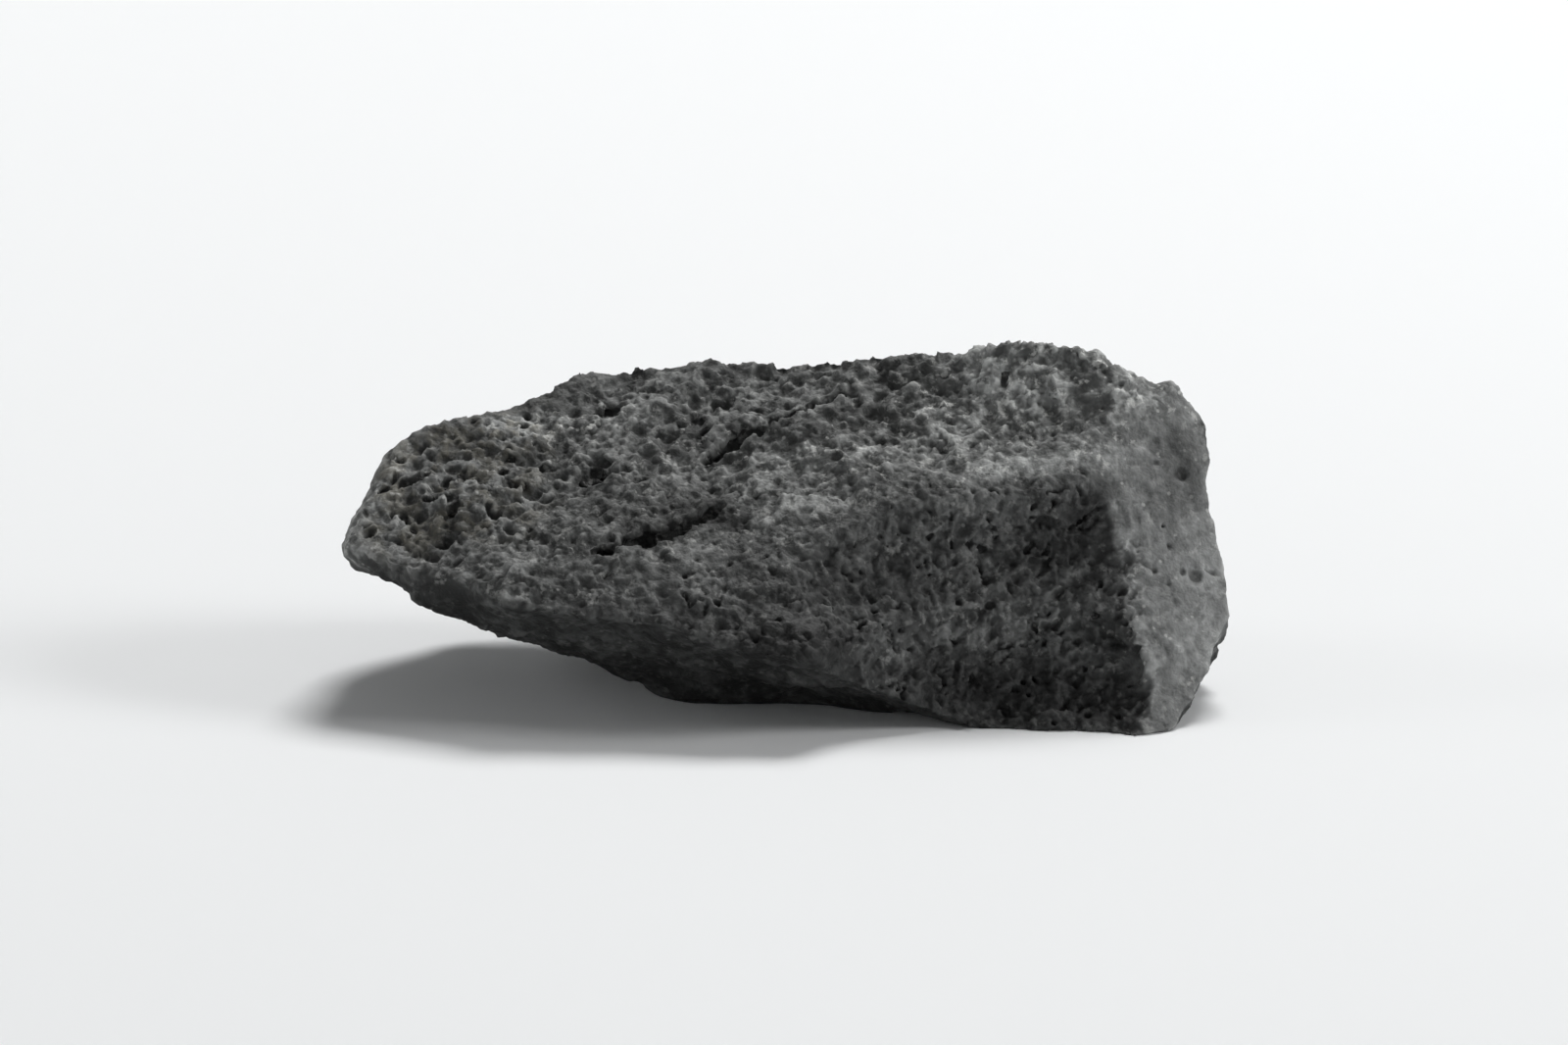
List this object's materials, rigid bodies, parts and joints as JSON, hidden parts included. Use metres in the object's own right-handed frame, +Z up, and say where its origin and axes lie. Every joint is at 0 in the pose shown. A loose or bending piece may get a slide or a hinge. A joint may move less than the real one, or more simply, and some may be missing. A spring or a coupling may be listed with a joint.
{
  "type": "raw shungite chip",
  "caption": "Rough crushed chip of matte black carbon-rich rock, with a pitted weathered face, conchoidal scars and a flat resting base",
  "frame": {"origin": "middle of the chip's bounding box, at the base that it rests on", "axes": "+X from the thin tip to the blunt end, +Y from the front rim to the back, +Z up"},
  "size_m": [0.028, 0.0144, 0.0106],
  "materials": {
    "shungite": "matte charcoal-black rock with a faint graphite lustre on fresh fracture faces and a dusty, pitted rind"
  },
  "bodies": {
    "root": {"shungite_stone": "shungite"}
  },
  "joints": []
}
